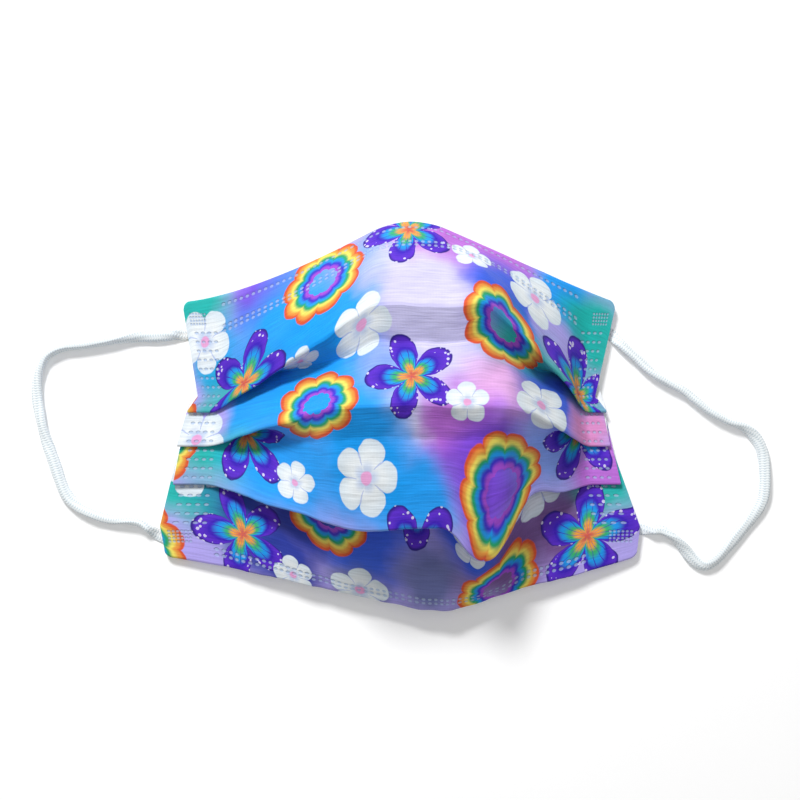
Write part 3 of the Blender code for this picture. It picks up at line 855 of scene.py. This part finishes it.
def motif_place(tree, flat, motif):
    """Distance and angle of a point from the middle of its motif, each motif turned by chance."""
    width, height = (size * MM for size in TILE)
    corner = (motif.across * MM - width / 2, motif.up * MM - height / 2, 0.0)
    moved = add_node(tree, "VectorMath", (flat, corner), operation="SUBTRACT")
    across = add_node(tree, "SeparateXYZ", (moved,))
    column = add_node(tree, "Math", (across, width), operation="DIVIDE")
    column = add_node(tree, "Math", (column,), operation="FLOOR")
    drop = add_node(tree, "Math", (column, TILE_DROP * MM), operation="MULTIPLY")
    dropped = add_node(tree, "CombineXYZ", {"Y": drop})
    shifted = add_node(tree, "VectorMath", (moved, dropped), operation="ADD")
    cells = add_node(tree, "VectorMath", (shifted, (width, height, 1.0)), operation="DIVIDE")
    cell = add_node(tree, "VectorMath", (cells,), operation="FLOOR")
    inside = add_node(tree, "VectorMath", (cells, cell), operation="SUBTRACT")
    centred = add_node(tree, "VectorMath", (inside, (0.5, 0.5, 0.0)), operation="SUBTRACT")
    sized = add_node(tree, "VectorMath", (centred, (width, height, 0.0)), operation="MULTIPLY")
    seeded = add_node(tree, "VectorMath", (cell, (0.0, 0.0, motif.seed)), operation="ADD")
    chance = add_node(tree, "TexWhiteNoise", {"Vector": seeded}, output=1)
    swing = add_node(tree, "VectorMath", (chance, (-0.5, -0.5, 0.0)), operation="ADD")
    jitter = (MOTIF_JITTER * MM, MOTIF_JITTER * MM, 0.0)
    local = add_node(tree, "VectorMath", (swing, jitter, sized), operation="MULTIPLY_ADD")
    away = add_node(tree, "VectorMath", (local,), output=1, operation="LENGTH")
    left = add_node(tree, "SeparateXYZ", (local,))
    up = add_node(tree, "SeparateXYZ", (local,), output=1)
    turn = add_node(tree, "Math", (up, left), operation="ARCTAN2")
    spin = add_node(tree, "SeparateXYZ", (chance,), output=2)
    return away, add_node(tree, "Math", (spin, 2 * math.pi, turn), operation="MULTIPLY_ADD")


def petal_share(tree, turn, petals, sharpness):
    """One along the middle of each petal, and none in the clefts between them."""
    half = add_node(tree, "Math", (turn, petals / 2), operation="MULTIPLY")
    wave = add_node(tree, "Math", (half,), operation="COSINE")
    wave = add_node(tree, "Math", (wave,), operation="ABSOLUTE")
    return add_node(tree, "Math", (wave, sharpness), operation="POWER")


def inside_of(tree, away, edge, blur=0.00025):
    """Mask of what lies nearer than an edge, with a printed edge's slight blur."""
    gap = add_node(tree, "Math", (edge, away), operation="SUBTRACT")
    growing = {"Value": gap, "From Min": -blur, "From Max": blur}
    return add_node(tree, "MapRange", growing, interpolation_type="SMOOTHSTEP")


# The tile's motifs: one ringed rosette, one violet flower, and two white blossoms
ROSETTE = Motif(-30.0, -14.0, 16.5, 3.0)
FLOWER = Motif(5.0, -6.0, 18.0, 5.0)
BLOSSOMS = (Motif(-14.0, 16.0, 11.5, 4.0), Motif(27.0, -15.0, 8.0, 14.0))

# Inks of the ringed rosette, from the innermost ring outwards. Inside them the ground shows.
RING_STOPS = (
    (0.40, "#A04AD0"),
    (0.49, "#3A30C8"),
    (0.58, "#1496E8"),
    (0.67, "#1FA36A"),
    (0.77, "#F0DE62"),
    (0.87, "#E8963F"),
    (0.96, "#D9542F"),
)
RING_START = 0.355

# Inks of the violet flower: its outer petals, and its inner petals from the heart outwards
OUTER_STOPS = ((0.55, "#3514B6"), (0.9, "#5A28C8"), (1.0, "#23107E"))
INNER_STOPS = ((0.05, "#D9623A"), (0.30, "#F0A23F"), (0.50, "#35B070"), (0.72, "#1496E8"), (0.95, "#3A14B8"))
INNER_SHARE = 0.70
FLECK_PITCH = 0.0019

# Inks of the white blossoms, from the heart outwards
WHITE_STOPS = ((0.15, "#C4D3EE"), (0.5, "#EDF3F6"), (0.98, "#DCE8F1"))


def petalled_outline(tree, drawn, motif, petals, sharpness, depth):
    """Outline of a petalled motif: distance, angle, the edge's distance, and the share of the way to it."""
    reach = motif.reach * MM
    away, turn = motif_place(tree, drawn, motif)
    petal = petal_share(tree, turn, petals, sharpness)
    edge = add_node(tree, "Math", (petal, depth * reach, (1 - depth) * reach), operation="MULTIPLY_ADD")
    return away, turn, edge, add_node(tree, "Math", (away, edge), operation="DIVIDE")


def print_rosettes(tree, drawn, ground, rosette):
    """The ground with ringed rosettes of nine scallops."""
    away, turn, edge, share = petalled_outline(tree, drawn, rosette, petals=9, sharpness=0.6, depth=0.14)
    rings = add_node(tree, "ValToRGB", (share,), stops=RING_STOPS)
    ringed = inside_of(tree, away, edge)
    past_heart = add_node(tree, "Math", (share, RING_START), operation="GREATER_THAN")
    ringed = add_node(tree, "Math", (ringed, past_heart), operation="MULTIPLY")
    return add_node(tree, "Mix", {0: ringed, 6: ground, 7: rings}, 2, data_type="RGBA")


def print_flowers(tree, flat, drawn, ground, flower):
    """The ground with violet flowers of five petals: white flecks at their rims, and veined inner petals."""
    away, turn, edge, share = petalled_outline(tree, drawn, flower, petals=5, sharpness=0.8, depth=0.72)
    outer = inside_of(tree, away, edge)
    petals = add_node(tree, "ValToRGB", (share,), stops=OUTER_STOPS)
    flecks = add_node(tree, "TexVoronoi", {"Vector": flat, "Scale": 1 / FLECK_PITCH, "Randomness": 0.9})
    flecks = add_node(tree, "Math", (flecks, 0.30), operation="LESS_THAN")
    at_rim = add_node(tree, "Math", (share, 0.80), operation="GREATER_THAN")
    flecks = add_node(tree, "Math", (flecks, at_rim), operation="MULTIPLY")
    flecks = add_node(tree, "Math", (flecks, 0.75), operation="MULTIPLY")
    flecked = {0: flecks, 6: petals, 7: linear_colour("#E8E4FA")}
    petals = add_node(tree, "Mix", flecked, 2, data_type="RGBA")
    colour = add_node(tree, "Mix", {0: outer, 6: ground, 7: petals}, 2, data_type="RGBA")
    inner_edge = add_node(tree, "Math", (edge, INNER_SHARE), operation="MULTIPLY")
    inner_share = add_node(tree, "Math", (away, inner_edge), operation="DIVIDE")
    inner = inside_of(tree, away, inner_edge)
    inks = add_node(tree, "ValToRGB", (inner_share,), stops=INNER_STOPS)
    between_veins = petal_share(tree, turn, 25, 1.0)
    unveined = add_node(tree, "Math", (between_veins, 0.16), operation="GREATER_THAN")
    inner = add_node(tree, "Math", (inner, unveined), operation="MULTIPLY")
    return add_node(tree, "Mix", {0: inner, 6: colour, 7: inks}, 2, data_type="RGBA")


def print_blossoms(tree, drawn, ground, bloom):
    """The ground with white blossoms of five round petals: thin lines between them, and a pink heart."""
    away, turn, edge, share = petalled_outline(tree, drawn, bloom, petals=5, sharpness=0.45, depth=0.42)
    whites = add_node(tree, "ValToRGB", (share,), stops=WHITE_STOPS)
    blossom = inside_of(tree, away, edge)
    colour = add_node(tree, "Mix", {0: blossom, 6: ground, 7: whites}, 2, data_type="RGBA")
    cleft = petal_share(tree, turn, 5, 1.0)
    cleft = add_node(tree, "Math", (cleft, 0.10), operation="LESS_THAN")
    beyond = add_node(tree, "Math", (share, 0.45), operation="GREATER_THAN")
    line = add_node(tree, "Math", (cleft, beyond), operation="MULTIPLY")
    line = add_node(tree, "Math", (line, blossom), operation="MULTIPLY")
    lined = {0: line, 6: colour, 7: linear_colour("#BFCBEC")}
    colour = add_node(tree, "Mix", lined, 2, data_type="RGBA")
    heart = inside_of(tree, away, 0.17 * bloom.reach * MM)
    hearted = {0: heart, 6: colour, 7: linear_colour("#E9A6D6")}
    return add_node(tree, "Mix", hearted, 2, data_type="RGBA")


# The drawn outlines of the motifs waver by up to 0.8 mm to each side, over 6 mm
WAVER = (0.0016, 0.0016, 0.0)
WAVER_LENGTH = 0.006


def printed_nonwoven():
    """Spunbond polypropylene with soft dyed patches and a generic repeat of rosettes, flowers and blossoms.

    The ink lies on matt fibres, so the colours stay full and dry, with faint crepe lines, and dots where the
    cloth is welded.
    """
    material, tree, shader = new_material("printed spunbond nonwoven")
    flat = add_node(tree, "Attribute", output=1, attribute_name="flat_place")
    pressed = add_node(tree, "Attribute", output=1, attribute_name="pressed_place")
    wobble = add_node(tree, "TexNoise", {"Vector": flat, "Scale": 1 / WAVER_LENGTH, "Detail": 2.0}, output=1)
    wobble = add_node(tree, "VectorMath", (wobble, (-0.5, -0.5, -0.5)), operation="ADD")
    drawn = add_node(tree, "VectorMath", (wobble, WAVER, flat), operation="MULTIPLY_ADD")
    colour = printed_ground(tree, flat)
    colour = print_rosettes(tree, drawn, colour, ROSETTE)
    colour = print_flowers(tree, flat, drawn, colour, FLOWER)
    for bloom in BLOSSOMS:
        colour = print_blossoms(tree, drawn, colour, bloom)

    relief = nonwoven_relief(tree, flat)
    # The colour is darker where the crepe and bond points lie low and lighter where they stand high
    relief_toning = {"Value": relief, "From Min": 0.35, "From Max": 0.95, "To Min": 0.78, "To Max": 1.10}
    relief_tone = add_node(tree, "MapRange", relief_toning)
    colour = add_node(tree, "VectorMath", (colour, relief_tone), operation="MULTIPLY")
    dots = weld_dots(tree, flat, pressed)
    # The weld dots are partly the pressed fibres' own duller colour and partly a painted highlight that
    # lightens them on dark ground
    weld_colour_and_highlight = add_node(tree, "VectorMath", (colour, (0.30, 0.36, 0.46)), operation="MULTIPLY")
    weld_colour_and_highlight = add_node(tree, "VectorMath", (weld_colour_and_highlight, (0.24, 0.29, 0.38)), operation="ADD")
    soft_dots = add_node(tree, "Math", (dots, 0.9), operation="MULTIPLY")
    colour = add_node(tree, "Mix", {0: soft_dots, 6: colour, 7: weld_colour_and_highlight}, 2, data_type="RGBA")
    tree.links.new(colour, shader.inputs["Base Color"])
    sunk = add_node(tree, "Math", (dots, -2.0, relief), operation="MULTIPLY_ADD")
    bump = add_node(tree, "Bump", {"Strength": 0.7, "Distance": 0.00025, "Height": sunk})
    tree.links.new(bump, shader.inputs["Normal"])
    shader.inputs["Roughness"].default_value = 0.72
    shader.inputs["Sheen Weight"].default_value = 0.05
    shader.inputs["Sheen Roughness"].default_value = 0.5
    shader.inputs["Specular IOR Level"].default_value = 0.25
    return material


# The elastic's courses of stitches are 0.9 mm apart, and seven ribs run along it
KNIT_PITCH = 0.0009
KNIT_WALES = 7


def knitted_elastic():
    """White knitted polyester elastic: matt ribs of small stitches, with painted shade that makes their
    grooves a little darker and bluer.
    """
    material, tree, shader = new_material("white knitted elastic")
    knit = add_node(tree, "Attribute", output=1, attribute_name="knit_place")
    along = add_node(tree, "SeparateXYZ", (knit,))
    around = add_node(tree, "SeparateXYZ", (knit,), output=1)
    course = add_node(tree, "Math", (along, 2 * math.pi / KNIT_PITCH), operation="MULTIPLY")
    wale = add_node(tree, "Math", (around, KNIT_WALES), operation="MULTIPLY")
    bowed = add_node(tree, "Math", (wale,), operation="COSINE")
    slanted = add_node(tree, "Math", (bowed, 1.3, course), operation="MULTIPLY_ADD")
    stitch = add_node(tree, "Math", (slanted,), operation="SINE")
    rib = add_node(tree, "Math", (bowed, 0.6, stitch), operation="MULTIPLY_ADD")
    # Painted shade: the stitches' low grooves are coloured darker and bluer than their crests
    shade = add_node(tree, "MapRange", {"Value": rib, "From Min": -1.5, "From Max": 1.0})
    colour = add_node(tree, "ValToRGB", (shade,), stops=((0.1, "#CCD8DE"), (0.6, "#EDF3F5")))
    tree.links.new(colour, shader.inputs["Base Color"])
    bump = add_node(tree, "Bump", {"Strength": 0.32, "Distance": 0.00025, "Height": rib})
    tree.links.new(bump, shader.inputs["Normal"])
    shader.inputs["Roughness"].default_value = 0.85
    shader.inputs["Sheen Weight"].default_value = 0.2
    return material


def coated_wire():
    """Soft iron wire in a drawn polyethylene coat: milky white and half matt, with faint drawing lines."""
    material, tree, shader = new_material("polyethylene coated iron wire")
    place = add_node(tree, "TexCoord", output=3)
    drawn = add_node(tree, "VectorMath", (place, (60.0, 2500.0, 2500.0)), operation="MULTIPLY")
    lines = add_node(tree, "TexNoise", {"Vector": drawn, "Scale": 1.0, "Detail": 3.0})
    colour = add_node(tree, "ValToRGB", (lines,), stops=((0.3, "#DCDEDF"), (0.7, "#EEF0F0")))
    tree.links.new(colour, shader.inputs["Base Color"])
    bump = add_node(tree, "Bump", {"Strength": 0.3, "Distance": 0.00005, "Height": lines})
    tree.links.new(bump, shader.inputs["Normal"])
    shader.inputs["Roughness"].default_value = 0.42
    shader.inputs["IOR"].default_value = 1.51
    return material


# The studio's paper sweep: radius and height of each ring, flat round the mask and then curving up
SWEEP = ((1.6, 0.0), (2.4, 0.03), (3.2, 0.16), (4.0, 0.45), (4.6, 0.90), (5.0, 1.50))
SWEEP_SIDES = 96


def make_floor():
    """A plain white studio floor that curves up far behind the mask on all sides."""
    points = [(0.0, 0.0, 0.0)]
    for radius, height in SWEEP:
        for side in range(SWEEP_SIDES):
            turn = 2 * math.pi * side / SWEEP_SIDES
            points.append((radius * math.cos(turn), radius * math.sin(turn), height))
    faces = [(0, 1 + side, 1 + (side + 1) % SWEEP_SIDES) for side in range(SWEEP_SIDES)]
    for ring in range(len(SWEEP) - 1):
        for side in range(SWEEP_SIDES):
            here = 1 + ring * SWEEP_SIDES + side
            beside = 1 + ring * SWEEP_SIDES + (side + 1) % SWEEP_SIDES
            faces.append((here, here + SWEEP_SIDES, beside + SWEEP_SIDES, beside))
    floor = mesh_object("floor", points, faces)
    material, tree, shader = new_material("white studio paper")
    shader.inputs["Base Color"].default_value = linear_colour("#F7F7F7")
    shader.inputs["Roughness"].default_value = 0.9
    shader.inputs["Emission Color"].default_value = linear_colour("#FFFFFF")
    shader.inputs["Emission Strength"].default_value = 0.12
    floor.data.materials.append(material)


# The camera hangs almost straight over the mask; a pixel of the 800-pixel picture is 1 / 2.8 mm on the floor
CAMERA_HEIGHT = 0.55
CAMERA_TILT = 2.0
PICTURE_WIDTH = 0.2857
SENSOR_WIDTH = 36.0
PICTURE_MIDDLE_Y = 0.0068


def make_camera():
    """The camera over the mask, upright with the mask's top edge at the top."""
    data = bpy.data.cameras.new("camera")
    data.sensor_width = SENSOR_WIDTH
    data.lens = SENSOR_WIDTH * CAMERA_HEIGHT / PICTURE_WIDTH
    camera = bpy.data.objects.new("camera", data)
    tilt = math.radians(CAMERA_TILT)
    camera.location = (0.0, PICTURE_MIDDLE_Y - CAMERA_HEIGHT * math.tan(tilt), CAMERA_HEIGHT)
    camera.rotation_euler = (tilt, 0.0, 0.0)
    bpy.context.scene.collection.objects.link(camera)
    bpy.context.scene.camera = camera


Lamp = namedtuple("Lamp", "name place target size power")
LAMPS = (
    Lamp("window", (-0.32, 0.78, 0.80), (0.0, 0.0, 0.02), 0.30, 13.5),
    Lamp("fill", (0.10, 0.05, 1.00), (0.0, 0.0, 0.0), 0.90, 1.8),
)
ROOM_STRENGTH = 0.26


def make_lights():
    """A soft window lamp beyond the top edge, a broad weak lamp straight above, and a white room."""
    for lamp in LAMPS:
        data = bpy.data.lights.new(lamp.name, "AREA")
        data.shape = "DISK"
        data.size = lamp.size
        data.energy = lamp.power
        light = bpy.data.objects.new(lamp.name, data)
        light.location = lamp.place
        way = Vector(lamp.target) - Vector(lamp.place)
        light.rotation_euler = way.to_track_quat("-Z", "Y").to_euler()
        bpy.context.scene.collection.objects.link(light)
    world = bpy.data.worlds.new("white room")
    world.use_nodes = True
    background = world.node_tree.nodes["Background"]
    background.inputs["Color"].default_value = linear_colour("#FFFFFF")
    background.inputs["Strength"].default_value = ROOM_STRENGTH
    bpy.context.scene.world = world
    bpy.context.scene.view_settings.view_transform = "Standard"


make_camera()
make_lights()
make_floor()

cloth = make_cloth()
cloth.data.materials.append(printed_nonwoven())
cloth.data.materials.append(lining_nonwoven())
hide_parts("pleated_body")
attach(cloth, "root")

wire = make_nose_wire()
wire.data.materials.append(coated_wire())
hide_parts("nose_wire")
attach(wire, "root")

elastic_finish = knitted_elastic()
for side in ("left", "right"):
    loop, centres, length = make_ear_loop(side)
    loop.data.materials.append(elastic_finish)
    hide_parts("ear_loop_" + side, "loop_end_upper_" + side, "loop_end_lower_" + side)
    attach(loop, "root")
